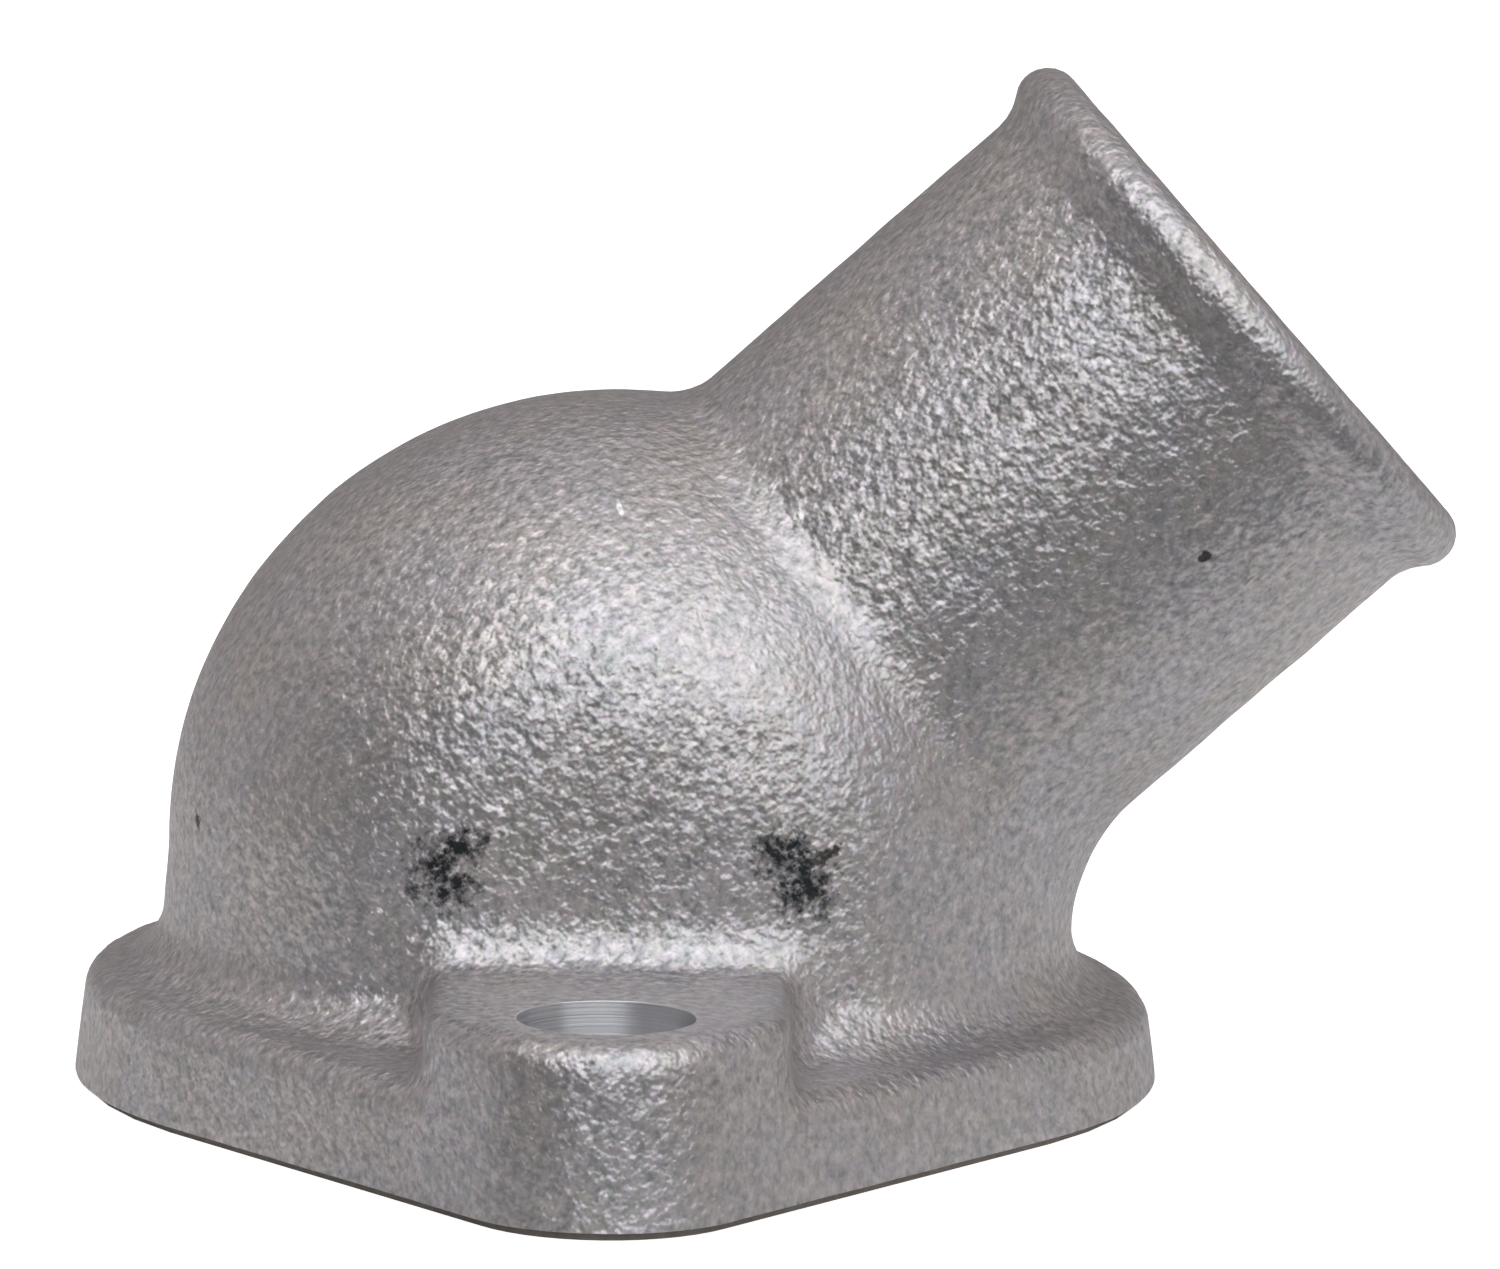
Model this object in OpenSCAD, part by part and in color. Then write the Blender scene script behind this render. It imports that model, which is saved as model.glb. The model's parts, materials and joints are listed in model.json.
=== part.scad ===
// Coolant outlet elbow: a cast aluminium dome on a two-bolt flange, with a beaded hose
// spigot at 42 degrees, and the paper gasket that seals it.
// The origin is the centre of the gasket's lower face. +Z is up through the dome, the
// spigot leans towards +X, and the two bolt ears point along -Y and +Y.

/* [Flange] */
// Radius of the two round lobes at the sides
lobe_r = 34.6; // [33.5:0.1:36]
// Distance from the centre to each bolt hole
bolt_offset = 40; // [39:0.5:43]
// Radius of the ear around each bolt hole
ear_r = 9.5; // [8.5:0.1:11]
// Thickness of the flange at its centre
flange_t = 6.2; // [5.5:0.1:8]
// Degrees by which the flange's upper face falls towards the spigot's side
top_slope = 1.3; // [0:0.1:1.6]
// How far the sides lean in from bottom to top
side_draft = 0.8; // [0.2:0.1:1.2]
// Radius of the rounded upper edges
edge_r = 1.7; // [0.8:0.1:2]

/* [Bolt pads] */
// Height of the pads above the flange's lower face
pad_h = 10.8; // [10:0.1:12]
// Width of each pad
pad_w = 21.6; // [20:0.1:24]
// Diameter of the bolt holes
bolt_hole_d = 10.5; // [9:0.1:11]
// Distance from the centre to the flat that clears each bolt head
flat_offset = 26.3; // [25.8:0.1:27.5]
// Radius of the hollow between the pad and that flat
pad_fillet_r = 3.4; // [2:0.1:4]

/* [Dome] */
// Outer radius of the dome
dome_r = 28.7; // [28.2:0.1:29.5]
// Height of the dome's centre above the flange's lower face
dome_centre_h = 14.7; // [14:0.1:16]
// How far the neck under the dome flares out down to the flange
neck_flare = 0.6; // [0.2:0.1:1]
// Radius of the hollow where the neck meets the flange
neck_fillet_r = 3.6; // [2:0.1:4]
// Inner radius of the dome
cavity_r = 23; // [21:0.1:23.5]

/* [Hose spigot] */
// Angle of the spigot above the flange
spigot_angle = 42; // [38:0.5:45]
// Outer radius of the spigot, for a 38 mm hose
spigot_r = 19; // [18:0.1:19.5]
// Height above the flange's lower face where the spigot's axis crosses the centre line
spigot_cross_h = 13.8; // [13.5:0.1:14.5]
// Distance from that crossing to the mouth
spigot_len = 54.1; // [50:0.1:60]
// Radius of the bore
bore_r = 15; // [13:0.1:15.5]
// How far the bead stands out around the mouth
bead_h = 1.2; // [0.6:0.1:1.5]
// Radius of the bead's nose
bead_nose_r = 2.1; // [1.5:0.1:2.3]
// Radius of the hollow behind the bead
bead_fillet_r = 3.5; // [3:0.5:6]
// Radius of the hollow where the spigot leaves the dome
root_fillet_r = 4; // [3.5:0.5:6]

/* [Thermostat seat] */
// Radius of the recess that takes the thermostat's rim
seat_r = 27.25; // [26:0.05:28]
// Depth of the recess
seat_depth = 3; // [2:0.5:4]

/* [Gasket] */
// Thickness of the gasket
gasket_t = 0.5; // [0.4:0.1:1]
// How far the gasket's edge stays inside the flange's edge
gasket_inset = 0.6; // [0.2:0.1:1]
// Radius of the gasket's opening
gasket_opening_r = 27.6; // [27.4:0.1:29]

/* [Hidden] */
$fn = 96;
// Facets on the circles inside a hull
hull_facets = 48;
// Thickness of the discs that a hull joins
disc_t = 0.01;
// Degrees between the discs that round an upper edge
edge_step = 30;
// Each hollow cuts a little into its neighbours, so that no two faces only touch
hollow_bite = 0.97;
// How far a cutting solid runs past the faces it cuts
past = 1;
ear_places = [-bolt_offset, bolt_offset];
neck_r = dome_r + neck_flare;
bead_centre = [spigot_r + bead_h - bead_nose_r, spigot_len - bead_nose_r];
bead_hollow_centre = [
    spigot_r + bead_fillet_r,
    bead_centre.y - sqrt(pow(bead_nose_r + bead_fillet_r, 2)
        - pow(spigot_r + bead_fillet_r - bead_centre.x, 2))
];
// The hollow at the spigot's root sits this far short of touching the dome
root_bite = 0.5;
root_hollow_centre = [
    spigot_r + root_fillet_r,
    sqrt(pow(dome_r + root_fillet_r, 2) - pow(spigot_r + root_fillet_r, 2)) - root_bite
];
// Start of the spigot's solid, inside the dome
spigot_root = 8;

// Discs for one height of the flange: the round lobes and an ear at each end
module flange_discs(inset) {
    cylinder(r = lobe_r - inset, h = disc_t, $fn = hull_facets);
    for (y = ear_places)
        translate([0, y, 0])
            cylinder(r = ear_r - inset, h = disc_t, $fn = hull_facets);
}

// The flange's outline raised to a height, with leaning sides, a rounded upper edge and an
// upper face that falls by some degrees towards +X
module flange_slab(height, slope) {
    hull() {
        flange_discs(0);
        for (a = [0 : edge_step : 90])
            translate([0, 0, height - edge_r * (1 - sin(a)) - disc_t])
                rotate([0, slope, 0])
                    flange_discs(side_draft + edge_r * (1 - cos(a)));
    }
}

// A raised pad at each ear, cut from a taller slab of the same outline
module bolt_pads() {
    intersection() {
        flange_slab(pad_h, 0);
        for (side = [-1, 1])
            translate([-pad_w / 2, side > 0 ? flat_offset - past : -flat_offset + past - lobe_r, -past])
                cube([pad_w, lobe_r, pad_h + 2 * past]);
    }
}

// Outline of the dome and its neck, turned about Z
module dome_outline() {
    intersection() {
        translate([0, dome_centre_h]) circle(dome_r);
        translate([0, dome_centre_h]) square(dome_r);
    }
    polygon([[0, 0], [neck_r, 0], [neck_r, flange_t], [dome_r, dome_centre_h], [0, dome_centre_h]]);
}

// The hollow round the neck, which follows the slope of the flange's upper face
module neck_hollow() {
    at = [neck_r + neck_fillet_r * hollow_bite, neck_fillet_r * hollow_bite];
    translate([0, 0, flange_t])
        rotate([0, top_slope, 0])
            rotate_extrude()
                difference() {
                    polygon([[neck_r - past, -past], [at.x, -past], at, [neck_r - past, at.y]]);
                    translate(at) circle(neck_fillet_r);
                }
}

// The dome with a flat cut above each pad, so that a bolt head and its spanner fit
module dome() {
    difference() {
        union() {
            rotate_extrude() dome_outline();
            neck_hollow();
        }
        for (side = [-1, 1])
            translate([-pad_w / 2, side > 0 ? flat_offset : -flat_offset - lobe_r, pad_h - past])
                cube([pad_w, lobe_r, dome_r + dome_centre_h]);
    }
}

// The hollow along the back of each pad
module pad_hollows() {
    at = pad_fillet_r * hollow_bite;
    for (side = [0, 1])
        mirror([0, side, 0])
            translate([-pad_w / 2, -flat_offset, pad_h])
                rotate([90, 0, 90])
                    linear_extrude(pad_w)
                        difference() {
                            polygon([[past, -past], [-at, -past], [-at, at], [past, at]]);
                            translate([-at, at]) circle(pad_fillet_r);
                        }
}

// Outline of the spigot turned about its own axis: tube, bead and the two hollows
module spigot_outline() {
    translate([0, spigot_root]) square([spigot_r, bead_centre.y - spigot_root]);
    translate([0, spigot_root]) square([bead_centre.x, spigot_len - spigot_root]);
    translate(bead_centre) circle(bead_nose_r);
    difference() {
        polygon([[bore_r, bead_hollow_centre.y], bead_hollow_centre, bead_centre, [bore_r, bead_centre.y]]);
        translate(bead_hollow_centre) circle(bead_fillet_r);
    }
    difference() {
        polygon([[0, spigot_root], [spigot_r / 2, spigot_root], root_hollow_centre, [0, root_hollow_centre.y]]);
        translate(root_hollow_centre) circle(root_fillet_r);
    }
}

// Places its children on the spigot's axis, with +Z out of the mouth
module on_spigot_axis() {
    translate([0, 0, spigot_cross_h]) rotate([0, 90 - spigot_angle, 0]) children();
}

// Outline of the space inside: the domed chamber and the thermostat's seat below it
module cavity_outline() {
    intersection() {
        translate([0, dome_centre_h]) circle(cavity_r);
        translate([0, dome_centre_h]) square(cavity_r);
    }
    translate([0, -past]) square([cavity_r, dome_centre_h + past]);
    translate([0, -past]) square([seat_r, seat_depth + past]);
}

// The single casting, standing on the gasket
module elbow_casting() {
    color("silver")
        translate([0, 0, gasket_t])
            difference() {
                union() {
                    flange_slab(flange_t, top_slope);
                    bolt_pads();
                    dome();
                    pad_hollows();
                    on_spigot_axis() rotate_extrude() spigot_outline();
                }
                rotate_extrude() cavity_outline();
                on_spigot_axis() cylinder(r = bore_r, h = spigot_len + past);
                for (y = ear_places)
                    translate([0, y, -past]) cylinder(d = bolt_hole_d, h = pad_h + 2 * past);
            }
}

// The gasket between the casting and the engine
module flange_gasket() {
    color("dimgray")
        difference() {
            linear_extrude(gasket_t)
                hull() {
                    circle(lobe_r - gasket_inset, $fn = hull_facets);
                    for (y = ear_places)
                        translate([0, y]) circle(ear_r - gasket_inset, $fn = hull_facets);
                }
            translate([0, 0, -past]) cylinder(r = gasket_opening_r, h = gasket_t + 2 * past);
            for (y = ear_places)
                translate([0, y, -past]) cylinder(d = bolt_hole_d, h = gasket_t + 2 * past);
        }
}

elbow_casting();
flange_gasket();
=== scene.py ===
"""Looks of the cast aluminium coolant outlet elbow and its gasket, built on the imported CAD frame.

The casting is one closed mesh. Its cast skin comes from a distance field with true blends, and the
machined faces (base, thermostat seat, bolt holes) are then cut into it with sharp edges.
Lengths in the field are millimetres in the CAD frame; Blender objects are in metres.
"""

import json
import math

import bpy
import numpy as np
import openvdb
from mathutils import Matrix, Vector


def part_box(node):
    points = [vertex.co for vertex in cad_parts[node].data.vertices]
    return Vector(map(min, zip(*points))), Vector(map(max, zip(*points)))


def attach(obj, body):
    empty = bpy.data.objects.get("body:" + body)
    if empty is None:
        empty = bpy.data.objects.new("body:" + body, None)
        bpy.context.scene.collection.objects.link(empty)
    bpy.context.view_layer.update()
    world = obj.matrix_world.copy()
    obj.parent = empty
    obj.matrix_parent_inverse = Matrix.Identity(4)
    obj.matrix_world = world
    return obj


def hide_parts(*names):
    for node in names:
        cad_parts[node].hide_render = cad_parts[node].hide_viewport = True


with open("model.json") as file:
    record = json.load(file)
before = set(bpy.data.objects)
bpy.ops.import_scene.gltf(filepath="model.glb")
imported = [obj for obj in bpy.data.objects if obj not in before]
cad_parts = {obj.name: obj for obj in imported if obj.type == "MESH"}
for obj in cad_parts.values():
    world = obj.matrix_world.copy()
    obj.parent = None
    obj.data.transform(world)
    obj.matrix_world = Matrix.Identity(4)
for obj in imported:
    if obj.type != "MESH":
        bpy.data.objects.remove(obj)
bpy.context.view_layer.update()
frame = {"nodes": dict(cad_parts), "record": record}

MM = 0.001
CASTING = "elbow_casting"
GASKET = "flange_gasket"

# ---------------------------------------------------------------- sizes read from the frame
casting_low, casting_high = (np.array(corner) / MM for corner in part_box(CASTING))
gasket_low, gasket_high = (np.array(corner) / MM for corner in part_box(GASKET))
mounts = {mount["name"]: mount for mount in frame["record"]["mounts"]}

FACE_Z = gasket_high[2]                       # the casting's machined lower face
LOBE_R = -casting_low[0]                      # round lobes at the flange's sides
BOLT_Y = mounts["flange_bolts"]["dims"]["spacing_y_mm"] / 2
BOLT_HOLE_R = mounts["flange_bolts"]["dims"]["hole_r_mm"]
EAR_R = casting_high[1] - BOLT_Y
SEAT_R = mounts["thermostat_seat"]["dims"]["r_mm"]
SEAT_DEPTH = mounts["thermostat_seat"]["dims"]["length_mm"]
BORE_R = mounts["spigot_bore"]["dims"]["r_mm"]
SPIGOT_R = mounts["hose_spigot"]["dims"]["r_mm"]
SPIGOT_AXIS = np.array(mounts["hose_spigot"]["axis"])
SPIGOT_POINT = np.array(mounts["hose_spigot"]["pos_m"]) / MM
SPIGOT_UP = np.array([-SPIGOT_AXIS[2], 0.0, SPIGOT_AXIS[0]])
SPIGOT_START = SPIGOT_POINT - SPIGOT_AXIS * SPIGOT_POINT[0] / SPIGOT_AXIS[0]

# ---------------------------------------------------------------- the casting's other sizes, in mm
FLANGE_T = 6.2                                # at the centre
TOP_SLOPE = math.tan(math.radians(1.3))       # fall of the flange's upper face towards +X
PAD_H = 10.8
PAD_HALF_W = 10.8
SIDE_DRAFT = 0.8
EDGE_R = 1.7
DOME_R = 28.7
DOME_Z = FACE_Z + 14.7
NECK_FLARE = 0.6
FLAT_Y = 26.3
CAVITY_R = 23.0
SPIGOT_LEN = 54.1
PAD_START = 12.0                              # the pads start here, inside the dome
SPIGOT_ROOT = 8.0                             # where the spigot's solid starts, inside the dome
BEAD_H = 1.2
BEAD_NOSE_R = 2.1
NECK_FILLET_R = 3.6
STEP_FILLET_R = 1.5                           # beside a pad, where it rises from the flange
ROOT_FILLET_R = (1.3, 4.0)                    # over the spigot, and under it
BEAD_FILLET_R = 3.5
FLAT_BLEND_R = 3.0
INNER_FILLET_R = 3.0
MOUTH_EDGE_R = 0.9
CAST_BELOW = 1.5                              # stock under the base, machined away

VOXEL = 0.6                                   # size of the mesh's quads
MARGIN = 2.0                                  # empty space round the casting in the grid
LUMPS = ((3.4, 0.045), (1.7, 0.028))          # size and height of the cast skin's unevenness
SEED = 7
SETTLE_STEPS = 2
INSET = 0.05                                  # keeps the highest lumps inside the CAD's faces
SHARP_ANGLE = math.radians(38)


# ---------------------------------------------------------------- marks on the skin, in mm
MARK_SEED = 4
DARK_BLOT_COUNT = 4                              # in each of the two groups of near-black blots by the front pad's corners
DARK_BLOT_SPREAD = 1.5
DARK_BLOT_RISE = 6.0                             # above the pad's face
RING_NICKS = 3                                # in a ring about the dome, and in one about the spigot
RING_SCRATCHES = 2
RING_ALONG = (32.0, 46.0)                     # where the spigot's ring lies, along its axis
RING_RISE = math.radians(60)                  # how far the dome's ring reaches up
# For each kind of mark: the range of its lengths, and of its half widths
BLOT = ((0.5, 2.0), (0.9, 1.4))
NICK = ((0.2, 2.0), (0.3, 0.6))
SCRATCH = ((1.0, 3.0), (0.15, 0.3))


# ---------------------------------------------------------------- distance field
def round_union(a, b, radius):
    """Union of two solids, with a hollow of this radius where they meet."""
    inside = np.hypot(np.maximum(radius - a, 0), np.maximum(radius - b, 0))
    return np.maximum(radius, np.minimum(a, b)) - inside


def round_common(a, b, radius):
    """What two solids share, with the edge rounded to this radius."""
    outside = np.hypot(np.maximum(radius + a, 0), np.maximum(radius + b, 0))
    return np.minimum(-radius, np.maximum(a, b)) + outside


def smooth_step(value, low, high):
    """0 below low, 1 above high and a smooth rise between them."""
    part = np.clip((value - low) / (high - low), 0, 1)
    return part * part * (3 - 2 * part)


def outline(x, y):
    """Distance in plan to the flange's outline, the hull of the lobes' circle and the two ears."""
    x, y = np.abs(x), np.abs(y)
    slope = (LOBE_R - EAR_R) / BOLT_Y
    side = math.sqrt(1 - slope * slope)
    along = side * y - slope * x
    flat = side * x + slope * y - LOBE_R
    return np.where(along < 0, np.hypot(x, y) - LOBE_R,
                    np.where(along > side * BOLT_Y, np.hypot(x, y - BOLT_Y) - EAR_R, flat))


def foot(x, y, z):
    """The flange and its two raised pads, with leaning sides and a rounded upper edge."""
    up = z - FACE_Z
    flange_h = FLANGE_T - TOP_SLOPE * x
    on_pad = np.clip((PAD_HALF_W + 1 - np.abs(x)) / 2, 0, 1)
    lean = SIDE_DRAFT * np.clip(up / (flange_h + (PAD_H - flange_h) * on_pad), 0, 1)
    pad = np.maximum(round_common(up - PAD_H, np.abs(x) - PAD_HALF_W, 1.0), PAD_START - np.abs(y))
    top = round_union(up - flange_h, pad, STEP_FILLET_R)
    return np.maximum(round_common(outline(x, y) + lean, top, EDGE_R), -up - CAST_BELOW)


def dome(x, y, z):
    """The dome and its flared neck, with a flat above each bolt pad."""
    up = z - DOME_Z
    flare = NECK_FLARE * np.clip(-up / (DOME_Z - FACE_Z - FLANGE_T), 0, 1.5)
    ball = np.hypot(np.hypot(x, y), np.maximum(up, 0)) - DOME_R - flare
    above_pad = np.maximum(FLAT_Y - np.abs(y), FACE_Z + PAD_H - 1 - z)
    return round_common(ball, -above_pad, FLAT_BLEND_R)


def spigot(across, along):
    """The hose spigot about its own axis, with the bead at its mouth and the hollow behind it."""
    nose_at = SPIGOT_LEN - BEAD_NOSE_R
    nose_r = SPIGOT_R + BEAD_H - BEAD_NOSE_R
    hollow_r = SPIGOT_R + BEAD_FILLET_R
    reach = math.sqrt((BEAD_NOSE_R + BEAD_FILLET_R) ** 2 - (hollow_r - nose_r) ** 2)
    meet = nose_at - reach * BEAD_NOSE_R / (BEAD_NOSE_R + BEAD_FILLET_R)
    in_hollow = np.clip(along - (nose_at - reach), 0, None)
    hollow = hollow_r - np.sqrt(np.maximum(BEAD_FILLET_R ** 2 - in_hollow ** 2, 0))
    nose = nose_r + np.sqrt(np.maximum(BEAD_NOSE_R ** 2 - (nose_at - along) ** 2, 0))
    tube = np.maximum(across - np.where(along < meet, hollow, nose), SPIGOT_ROOT - along)
    mouth = np.hypot(np.maximum(across - nose_r, 0), along - nose_at) - BEAD_NOSE_R
    return np.where(along < nose_at, tube, mouth)


def casting_field(points):
    """Signed distance in mm from the casting's cast skin, negative inside the metal."""
    x, y, z = (points[..., i] for i in range(3))
    from_start = points - SPIGOT_START.astype(points.dtype)
    along = from_start @ SPIGOT_AXIS.astype(points.dtype)
    across = np.sqrt(np.maximum((from_start ** 2).sum(-1) - along ** 2, 0))

    body = round_union(foot(x, y, z), dome(x, y, z), NECK_FILLET_R)
    under = -(from_start @ SPIGOT_UP.astype(points.dtype)) / SPIGOT_R
    root_r = ROOT_FILLET_R[0] + (ROOT_FILLET_R[1] - ROOT_FILLET_R[0]) * smooth_step(under, 0.3, 1.0)
    body = round_union(body, spigot(across, along), root_r)

    chamber = np.hypot(np.hypot(x, y), np.maximum(z - DOME_Z, 0)) - CAVITY_R
    bore = np.maximum(across - BORE_R, -along)
    inside = round_union(chamber, bore, INNER_FILLET_R)
    return round_common(body, -inside, MOUTH_EDGE_R)


def value_noise(points, size, rng):
    """Smooth noise from -1 to 1 whose lumps are about this size in mm."""
    cells = (points - points.reshape(-1, 3).min(0)) / size
    count = np.floor(cells.reshape(-1, 3).max(0)).astype(int) + 2
    lattice = rng.uniform(-1, 1, count).astype(np.float32)
    low = np.floor(cells).astype(int)
    part = cells - low
    part = part * part * (3 - 2 * part)
    total = np.zeros(points.shape[:-1], np.float32)
    for corner in np.ndindex(2, 2, 2):
        weight = np.prod(np.where(corner, part, 1 - part), axis=-1)
        i, j, k = (low[..., axis] + corner[axis] for axis in range(3))
        total += weight * lattice[i, j, k]
    return total


# ---------------------------------------------------------------- meshes
def field_normals(points):
    """Outward directions of the field at these points."""
    step = 0.05
    slopes = [casting_field(points + step * axis) - casting_field(points - step * axis)
              for axis in np.eye(3)]
    normals = np.stack(slopes, -1)
    return normals / np.maximum(np.linalg.norm(normals, axis=-1, keepdims=True), 1e-9)


def cast_skin():
    """Vertices in mm and quads of the cast skin, settled onto the field and made slightly uneven."""
    low = casting_low - MARGIN - CAST_BELOW
    high = casting_high + MARGIN
    axes = [np.arange(low[i], high[i], VOXEL, dtype=np.float32) for i in range(3)]
    grid = openvdb.FloatGrid()
    planes = [casting_field(np.stack(np.meshgrid(x, axes[1], axes[2], indexing="ij"), -1))
              for x in np.array_split(axes[0], 12)]
    grid.copyFromArray(np.concatenate(planes).astype(np.float32))
    points, quads = grid.convertToQuads(0.0)
    points = low + points.astype(float) * VOXEL
    for _ in range(SETTLE_STEPS):
        points -= field_normals(points) * casting_field(points)[:, None]
    rng = np.random.default_rng(SEED)
    rise = sum(height * value_noise(points, size, rng) for size, height in LUMPS)
    return points + field_normals(points) * (rise[:, None] - INSET), quads


def mesh_object(name, points, faces):
    """A new object, its points given in mm."""
    mesh = bpy.data.meshes.new(name)
    mesh.from_pydata([tuple(p) for p in np.asarray(points) * MM], [], [tuple(f) for f in faces])
    mesh.validate()
    mesh.update()
    piece = bpy.data.objects.new(name, mesh)
    bpy.context.scene.collection.objects.link(piece)
    return piece


def lathe(name, profile, centre, segments=128):
    """A closed solid of revolution about Z from (radius, height) points, first and last on the axis."""
    turns = [2 * math.pi * i / segments for i in range(segments)]
    points = [(centre[0], centre[1], profile[0][1])]
    for radius, height in profile[1:-1]:
        points += [(centre[0] + radius * math.cos(t), centre[1] + radius * math.sin(t), height)
                   for t in turns]
    points.append((centre[0], centre[1], profile[-1][1]))
    rings = len(profile) - 2
    last = len(points) - 1
    faces = []
    for i in range(segments):
        j = (i + 1) % segments
        faces.append((0, 1 + j, 1 + i))
        for ring in range(rings - 1):
            a, b = 1 + ring * segments, 1 + (ring + 1) * segments
            faces.append((a + i, a + j, b + j, b + i))
        top = 1 + (rings - 1) * segments
        faces.append((last, top + i, top + j))
    return mesh_object(name, points, faces)


def cut(piece, tool):
    """Takes the tool's solid out of the piece; the new faces carry the tool's material."""
    modifier = piece.modifiers.new("cut", "BOOLEAN")
    modifier.operation = "DIFFERENCE"
    modifier.solver = "EXACT"
    modifier.object = tool
    modifier.material_mode = "TRANSFER"
    evaluated = piece.evaluated_get(bpy.context.evaluated_depsgraph_get())
    made = bpy.data.meshes.new_from_object(evaluated)
    piece.modifiers.clear()
    piece.data = made
    bpy.data.objects.remove(tool)


def build_casting(skin_material, machined_material):
    points, quads = cast_skin()
    piece = mesh_object("cast_elbow_body", points, quads)
    piece.data.materials.append(skin_material)

    reach = 80.0
    below = FACE_Z - 10
    tools = [lathe("base_cut", [(0, below), (reach, below), (reach, FACE_Z), (0, FACE_Z)], (0, 0)),
             lathe("seat_cut", [(0, below), (SEAT_R, below), (SEAT_R, FACE_Z + SEAT_DEPTH),
                                (0, FACE_Z + SEAT_DEPTH)], (0, 0))]
    rim = FACE_Z + PAD_H
    for side in (-1, 1):
        profile = [(0, below), (BOLT_HOLE_R, below), (BOLT_HOLE_R, rim - 0.1),
                   (BOLT_HOLE_R + 0.4, rim + 0.3), (BOLT_HOLE_R + 0.4, rim + 5), (0, rim + 5)]
        tools.append(lathe("bolt_cut", profile, (0, side * BOLT_Y)))
    for tool in tools:
        tool.data.materials.append(machined_material)
        cut(piece, tool)
    piece.data.shade_smooth()
    piece.data.set_sharp_from_angle(angle=SHARP_ANGLE)
    piece.data.name = piece.name
    return piece


# ---------------------------------------------------------------- marks
def on_skin(place):
    """The place on the cast skin near this one."""
    places = np.array([place])
    for _ in range(SETTLE_STEPS):
        places = places - field_normals(places) * casting_field(places)[:, None]
    return places[0]


def mark(place, kind, rng):
    """A mark of this kind about here: its start, its end and its half width."""
    lengths, half_widths = kind
    way = rng.normal(size=3)
    reach = way / np.linalg.norm(way) * rng.uniform(*lengths) / 2
    return on_skin(place - reach), on_skin(place + reach), rng.uniform(*half_widths)


def dark_blots(rng):
    """Near-black blots in two groups on the dome, one by each corner of the front pad, darkening the skin's colour
    there.
    """
    middles = [np.array([side * PAD_HALF_W, -FLAT_Y, FACE_Z + PAD_H + DARK_BLOT_RISE]) for side in (-1, 1)]
    return [mark(middle + rng.uniform(-DARK_BLOT_SPREAD, DARK_BLOT_SPREAD, 3), BLOT, rng)
            for middle in middles for _ in range(DARK_BLOT_COUNT)]


def ring_marks(kind, count, rng):
    """Marks of this kind in a ring about the dome and in another about the spigot."""
    marks = []
    for i in range(count):
        turn = 2 * math.pi * (i + rng.random()) / count
        rise = rng.uniform(0, RING_RISE)
        out = np.array([math.cos(turn) * math.cos(rise), math.sin(turn) * math.cos(rise), math.sin(rise)])
        side = np.array([0.0, math.cos(turn), 0.0]) + math.sin(turn) * SPIGOT_UP
        on_axis = SPIGOT_START + rng.uniform(*RING_ALONG) * SPIGOT_AXIS
        marks.append(mark(np.array([0.0, 0.0, DOME_Z]) + DOME_R * out, kind, rng))
        marks.append(mark(on_axis + SPIGOT_R * side, kind, rng))
    return marks


# ---------------------------------------------------------------- materials
GRIT_TILT = 0.70                              # how far the grains of the blasted skin lean


def new_material(name):
    material = bpy.data.materials.new(name)
    material.use_nodes = True
    nodes = material.node_tree.nodes
    nodes.clear()
    shader = nodes.new("ShaderNodeBsdfPrincipled")
    output = nodes.new("ShaderNodeOutputMaterial")
    material.node_tree.links.new(shader.outputs["BSDF"], output.inputs["Surface"])
    return material, shader


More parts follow.
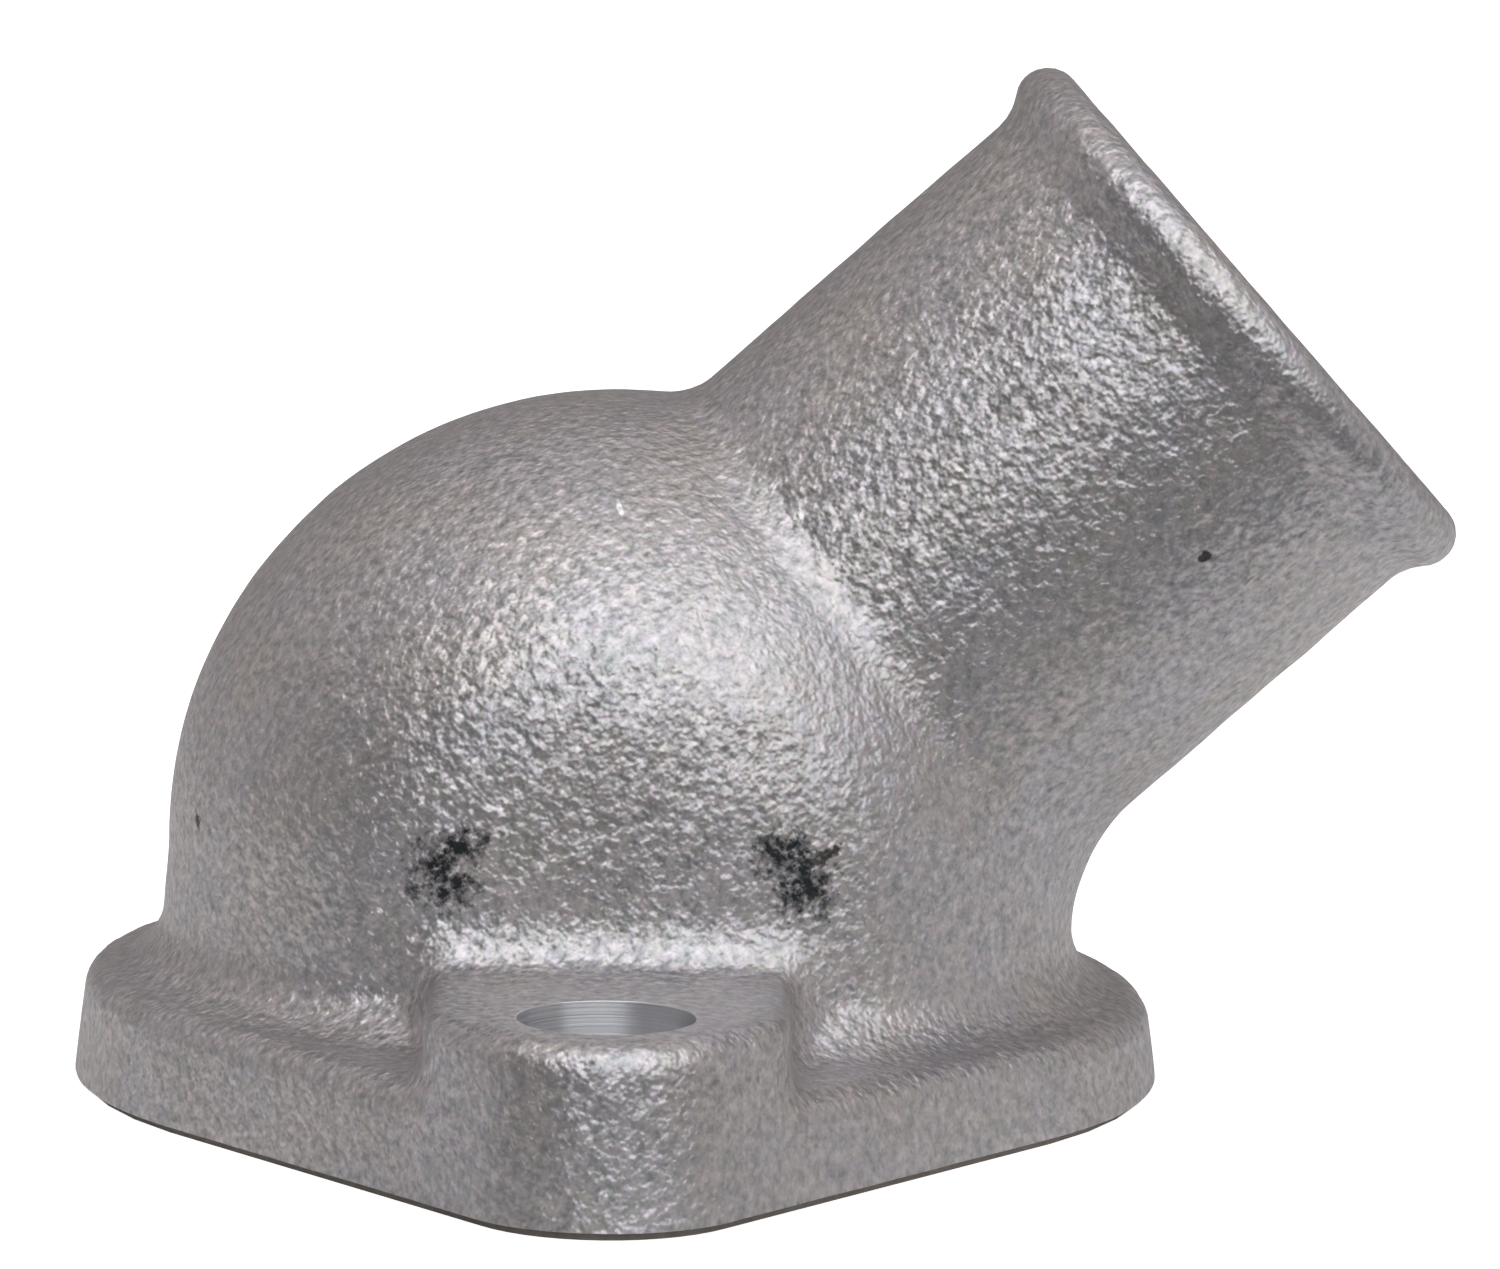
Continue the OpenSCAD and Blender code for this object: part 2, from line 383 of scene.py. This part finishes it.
def cast_material():
    material, shader = new_material("cast_aluminium")
    tree = material.node_tree
    shader.inputs["Metallic"].default_value = 1.0
    place = tree.nodes.new("ShaderNodeTexCoord")
    # Turned, so that the rows of the noise don't line up with the casting
    turned = tree.nodes.new("ShaderNodeMapping")
    turned.inputs["Rotation"].default_value = (0.5, 0.7, 0.3)
    tree.links.new(place.outputs["Object"], turned.inputs["Vector"])

    def noise(scale, detail=2.0, roughness=0.5):
        node = tree.nodes.new("ShaderNodeTexNoise")
        node.inputs["Scale"].default_value = scale
        node.inputs["Detail"].default_value = detail
        node.inputs["Roughness"].default_value = roughness
        tree.links.new(turned.outputs["Vector"], node.inputs["Vector"])
        return node

    def ramp(source, low, high, low_value, high_value):
        node = tree.nodes.new("ShaderNodeMapRange")
        node.inputs["From Min"].default_value = low
        node.inputs["From Max"].default_value = high
        node.inputs["To Min"].default_value = low_value
        node.inputs["To Max"].default_value = high_value
        tree.links.new(source, node.inputs["Value"])
        return node

    def mask(marks, wobble, softness=0.4):
        """1 on the marks and 0 off them; the wobble breaks up their edges."""
        found = None
        for start, end, half_width in marks:
            start, end = Vector(start) * MM, Vector(end) * MM
            local = tree.nodes.new("ShaderNodeMapping")
            local.vector_type = "TEXTURE"
            local.inputs["Location"].default_value = (start + end) / 2
            local.inputs["Rotation"].default_value = (end - start).to_track_quat("X", "Z").to_euler()
            half_length = (end - start).length / 2 + half_width * MM
            local.inputs["Scale"].default_value = (half_length, half_width * MM, half_width * MM)
            tree.links.new(place.outputs["Object"], local.inputs["Vector"])
            away = tree.nodes.new("ShaderNodeVectorMath")
            away.operation = "LENGTH"
            tree.links.new(local.outputs["Vector"], away.inputs[0])
            broken = tree.nodes.new("ShaderNodeMath")
            broken.operation = "MULTIPLY_ADD"
            broken.inputs[1].default_value = wobble
            tree.links.new(edges.outputs["Fac"], broken.inputs[0])
            tree.links.new(away.outputs["Value"], broken.inputs[2])
            middle = (1.5 + wobble) / 2
            near = ramp(broken.outputs["Value"], middle - softness / 2, middle + softness / 2, 1, 0)
            near = near.outputs["Result"]
            if found:
                most = tree.nodes.new("ShaderNodeMath")
                most.operation = "MAXIMUM"
                tree.links.new(found, most.inputs[0])
                tree.links.new(near, most.inputs[1])
                near = most.outputs["Value"]
            found = near
        return found

    def mix(factor, source, other, blend="MIX"):
        node = tree.nodes.new("ShaderNodeMix")
        node.data_type = "RGBA"
        node.blend_type = blend
        for value, name in ((factor, "Factor"), (source, "A"), (other, "B")):
            if isinstance(value, (float, tuple)):
                node.inputs[name].default_value = value
            else:
                tree.links.new(value, node.inputs[name])
        return node.outputs["Result"]

    grit = noise(1600, 2.0, 0.7)
    grains = noise(1750, 1.0, 0.5)
    clumps = noise(700, 1.0, 0.5)
    speckle = noise(1600, 2.0, 0.65)
    patches = noise(150, 2.0)
    edges = noise(1600, 2.0, 0.7)
    colour = mix(ramp(patches.outputs["Fac"], 0.35, 0.65, 0, 1).outputs["Result"],
                 (0.505, 0.481, 0.478, 1), (0.490, 0.477, 0.500, 1))
    colour = mix(1.0, colour, ramp(speckle.outputs["Fac"], 0.25, 0.75, 0.70, 1.30).outputs["Result"], "MULTIPLY")
    colour = mix(0.12, colour, speckle.outputs["Color"], "OVERLAY")
    rng = np.random.default_rng(MARK_SEED)
    # Near-black blots painted into the skin's colour in two groups, by the front pad's corners
    colour = mix(mask(dark_blots(rng), 3.5, 1.1), colour, (0.045, 0.05, 0.055, 1))
    colour = mix(mask(ring_marks(NICK, RING_NICKS, rng), 2.0), colour, (0.09, 0.085, 0.08, 1))
    colour = mix(mask(ring_marks(SCRATCH, RING_SCRATCHES, rng), 0.8), colour, (0.95, 0.95, 1.0, 1))
    tree.links.new(colour, shader.inputs["Base Color"])
    tree.links.new(ramp(speckle.outputs["Fac"], 0.3, 0.7, 0.47, 0.40).outputs["Result"], shader.inputs["Roughness"])
    coarse = tree.nodes.new("ShaderNodeBump")
    coarse.inputs["Distance"].default_value = 0.00009
    coarse.inputs["Strength"].default_value = 1.0
    tree.links.new(clumps.outputs["Fac"], coarse.inputs["Height"])
    fine = tree.nodes.new("ShaderNodeBump")
    fine.inputs["Distance"].default_value = 0.00017
    fine.inputs["Strength"].default_value = 1.0
    tree.links.new(grains.outputs["Fac"], fine.inputs["Height"])
    tree.links.new(coarse.outputs["Normal"], fine.inputs["Normal"])
    # Each grain of the blasted skin faces a little its own way
    centred = tree.nodes.new("ShaderNodeVectorMath")
    centred.operation = "SUBTRACT"
    centred.inputs[1].default_value = (0.5, 0.5, 0.5)
    tree.links.new(grit.outputs["Color"], centred.inputs[0])
    tilt = tree.nodes.new("ShaderNodeVectorMath")
    tilt.operation = "MULTIPLY_ADD"
    tilt.inputs[1].default_value = (GRIT_TILT, GRIT_TILT, GRIT_TILT)
    tree.links.new(centred.outputs["Vector"], tilt.inputs[0])
    tree.links.new(fine.outputs["Normal"], tilt.inputs[2])
    facing = tree.nodes.new("ShaderNodeVectorMath")
    facing.operation = "NORMALIZE"
    tree.links.new(tilt.outputs["Vector"], facing.inputs[0])
    tree.links.new(facing.outputs["Vector"], shader.inputs["Normal"])
    return material


def machined_material():
    """Bright cut metal; the cutter's fine rings spread its shine along the hole and across the face."""
    material, shader = new_material("machined_aluminium")
    tree = material.node_tree
    shader.inputs["Metallic"].default_value = 1.0
    shader.inputs["Base Color"].default_value = (0.79, 0.80, 0.83, 1)
    shader.inputs["Roughness"].default_value = 0.36
    shader.inputs["Anisotropic"].default_value = 0.9
    place = tree.nodes.new("ShaderNodeTexCoord")
    across = tree.nodes.new("ShaderNodeVectorMath")
    across.operation = "ADD"
    across.inputs[1].default_value = (0, 0, 1)
    tree.links.new(place.outputs["Object"], across.inputs[0])
    tree.links.new(across.outputs["Vector"], shader.inputs["Tangent"])
    stretch = tree.nodes.new("ShaderNodeMapping")
    stretch.inputs["Scale"].default_value = (40, 40, 6000)
    tree.links.new(place.outputs["Object"], stretch.inputs["Vector"])
    rings = tree.nodes.new("ShaderNodeTexNoise")
    rings.inputs["Scale"].default_value = 1.0
    rings.inputs["Detail"].default_value = 1.0
    tree.links.new(stretch.outputs["Vector"], rings.inputs["Vector"])
    bump = tree.nodes.new("ShaderNodeBump")
    bump.inputs["Distance"].default_value = 0.00003
    bump.inputs["Strength"].default_value = 1.0
    tree.links.new(rings.outputs["Fac"], bump.inputs["Height"])
    tree.links.new(bump.outputs["Normal"], shader.inputs["Normal"])
    return material


def gasket_material():
    """Pressed fibre paper, faintly mottled."""
    material, shader = new_material("gasket_fibre")
    tree = material.node_tree
    shader.inputs["Roughness"].default_value = 0.85
    place = tree.nodes.new("ShaderNodeTexCoord")
    fibres = tree.nodes.new("ShaderNodeTexNoise")
    fibres.inputs["Scale"].default_value = 900
    fibres.inputs["Detail"].default_value = 3.0
    tree.links.new(place.outputs["Object"], fibres.inputs["Vector"])
    blend = tree.nodes.new("ShaderNodeMix")
    blend.data_type = "RGBA"
    blend.inputs["A"].default_value = (0.14, 0.12, 0.105, 1)
    blend.inputs["B"].default_value = (0.30, 0.26, 0.235, 1)
    tree.links.new(fibres.outputs["Fac"], blend.inputs["Factor"])
    tree.links.new(blend.outputs["Result"], shader.inputs["Base Color"])
    return material


# ---------------------------------------------------------------- the pieces
casting = build_casting(cast_material(), machined_material())
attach(casting, "root")
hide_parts(CASTING)

gasket = frame["nodes"][GASKET]
gasket.data.materials.clear()
gasket.data.materials.append(gasket_material())


# ---------------------------------------------------------------- floor, light and camera
WALL_LIGHT = 0.53
CAMERA_SIDE_LIGHT = 0.04


def area_light(name, aim, azimuth, elevation, distance, size, radiance, colour):
    """A soft box as bright as this whatever its width and height; angles in degrees."""
    turn, rise = math.radians(azimuth), math.radians(elevation)
    back = Vector((math.sin(turn) * math.cos(rise), -math.cos(turn) * math.cos(rise), math.sin(rise)))
    data = bpy.data.lights.new(name, "AREA")
    data.shape = "RECTANGLE"
    data.size, data.size_y = size
    data.energy = radiance * math.pi * data.size * data.size_y
    data.color = colour
    light = bpy.data.objects.new(name, data)
    light.location = aim + back * distance
    light.rotation_euler = back.to_track_quat("Z", "Y").to_euler()
    light.visible_camera = False
    bpy.context.scene.collection.objects.link(light)


def studio():
    floor = mesh_object("floor", [(-3000, -3000, 0), (3000, -3000, 0), (3000, 3000, 0), (-3000, 3000, 0)],
                        [(0, 1, 2, 3)])
    material, shader = new_material("pale_floor")
    shader.inputs["Roughness"].default_value = 0.8
    place = material.node_tree.nodes.new("ShaderNodeTexCoord")
    # Painted shade: the floor's colour is dark in front of the part, towards the camera, and pale round it, so that
    # the part's front reflects a darker floor; the camera sees the floor lifted to near white by its own glow
    towards = material.node_tree.nodes.new("ShaderNodeVectorMath")
    towards.operation = "DOT_PRODUCT"
    towards.inputs[1].default_value = (-0.15, 0.99, 0.0)
    material.node_tree.links.new(place.outputs["Object"], towards.inputs[0])
    shade = material.node_tree.nodes.new("ShaderNodeMapRange")
    shade.inputs["From Min"].default_value = -0.085
    shade.inputs["From Max"].default_value = -0.025
    shade.inputs["To Min"].default_value = 0.15
    shade.inputs["To Max"].default_value = 0.86
    material.node_tree.links.new(towards.outputs["Value"], shade.inputs["Value"])
    material.node_tree.links.new(shade.outputs["Result"], shader.inputs["Base Color"])
    shader.inputs["Emission Color"].default_value = (1, 1, 1, 1)
    path = material.node_tree.nodes.new("ShaderNodeLightPath")
    lift = material.node_tree.nodes.new("ShaderNodeMath")
    lift.operation = "MULTIPLY"
    lift.inputs[1].default_value = 0.86
    material.node_tree.links.new(path.outputs["Is Camera Ray"], lift.inputs[0])
    material.node_tree.links.new(lift.outputs["Value"], shader.inputs["Emission Strength"])
    floor.data.materials.append(material)
    aim = Vector((0.0, 0.0, 0.03))
    area_light("key", aim, 16, 45, 0.80, (1.30, 1.02), 1.11, (0.925, 0.98, 1.0))
    area_light("top", aim, 20, 85, 0.90, (1.20, 1.20), 0.25, (1.0, 0.98, 0.96))
    studio_world()
    bpy.context.scene.view_settings.view_transform = "Standard"


def studio_world():
    """Even grey walls, darker round the camera, and a pale backdrop where the camera sees it."""
    world = bpy.data.worlds.new("studio")
    world.use_nodes = True
    tree = world.node_tree
    tree.nodes.clear()
    place = tree.nodes.new("ShaderNodeTexCoord")
    towards = tree.nodes.new("ShaderNodeVectorMath")
    towards.operation = "DOT_PRODUCT"
    towards.inputs[1].default_value = (-0.76, -0.55, -0.34)
    tree.links.new(place.outputs["Generated"], towards.inputs[0])
    level = tree.nodes.new("ShaderNodeMapRange")
    level.inputs["From Min"].default_value = 0.4
    level.inputs["From Max"].default_value = 1.0
    level.inputs["To Min"].default_value = WALL_LIGHT
    level.inputs["To Max"].default_value = CAMERA_SIDE_LIGHT
    tree.links.new(towards.outputs["Value"], level.inputs["Value"])
    behind = tree.nodes.new("ShaderNodeVectorMath")
    behind.operation = "DOT_PRODUCT"
    behind.inputs[1].default_value = (0.0, 1.0, 0.0)
    tree.links.new(place.outputs["Generated"], behind.inputs[0])
    dip = tree.nodes.new("ShaderNodeMapRange")
    dip.inputs["From Min"].default_value = 0.6
    dip.inputs["From Max"].default_value = 1.0
    dip.inputs["To Min"].default_value = 1.0
    dip.inputs["To Max"].default_value = 0.4
    tree.links.new(behind.outputs["Value"], dip.inputs["Value"])
    both = tree.nodes.new("ShaderNodeMath")
    both.operation = "MULTIPLY"
    tree.links.new(level.outputs["Result"], both.inputs[0])
    tree.links.new(dip.outputs["Result"], both.inputs[1])
    walls = tree.nodes.new("ShaderNodeBackground")
    walls.inputs["Color"].default_value = (1.0, 0.94, 0.92, 1)
    tree.links.new(both.outputs["Value"], walls.inputs["Strength"])
    backdrop = tree.nodes.new("ShaderNodeBackground")
    backdrop.inputs["Strength"].default_value = 1.0
    path = tree.nodes.new("ShaderNodeLightPath")
    pick = tree.nodes.new("ShaderNodeMixShader")
    tree.links.new(path.outputs["Is Camera Ray"], pick.inputs["Fac"])
    tree.links.new(walls.outputs["Background"], pick.inputs[1])
    tree.links.new(backdrop.outputs["Background"], pick.inputs[2])
    output = tree.nodes.new("ShaderNodeOutputWorld")
    tree.links.new(pick.outputs["Shader"], output.inputs["Surface"])
    bpy.context.scene.world = world


CAMERA_AZIMUTH = math.radians(-0.22)
CAMERA_ELEVATION = math.radians(7.79)
CAMERA_ROLL = math.radians(0.80)
CAMERA_DISTANCE = 439.5
CAMERA_AIM = (8.2, 0.0, 28.4)
CAMERA_LENS = 165.75
SENSOR_WIDTH = 36.0


def camera():
    back = Vector((math.sin(CAMERA_AZIMUTH) * math.cos(CAMERA_ELEVATION),
                   -math.cos(CAMERA_AZIMUTH) * math.cos(CAMERA_ELEVATION),
                   math.sin(CAMERA_ELEVATION)))
    level = Vector((math.cos(CAMERA_AZIMUTH), math.sin(CAMERA_AZIMUTH), 0))
    rise = back.cross(level)
    right = math.cos(CAMERA_ROLL) * level + math.sin(CAMERA_ROLL) * rise
    up = back.cross(right)
    data = bpy.data.cameras.new("camera")
    data.sensor_width = SENSOR_WIDTH
    data.lens = CAMERA_LENS
    data.clip_start, data.clip_end = 0.02, 20
    view = bpy.data.objects.new("camera", data)
    view.matrix_world = (Matrix.Translation((Vector(CAMERA_AIM) + back * CAMERA_DISTANCE) * MM)
                         @ Matrix((right, up, back)).transposed().to_4x4())
    bpy.context.scene.collection.objects.link(view)
    bpy.context.scene.camera = view


studio()
camera()
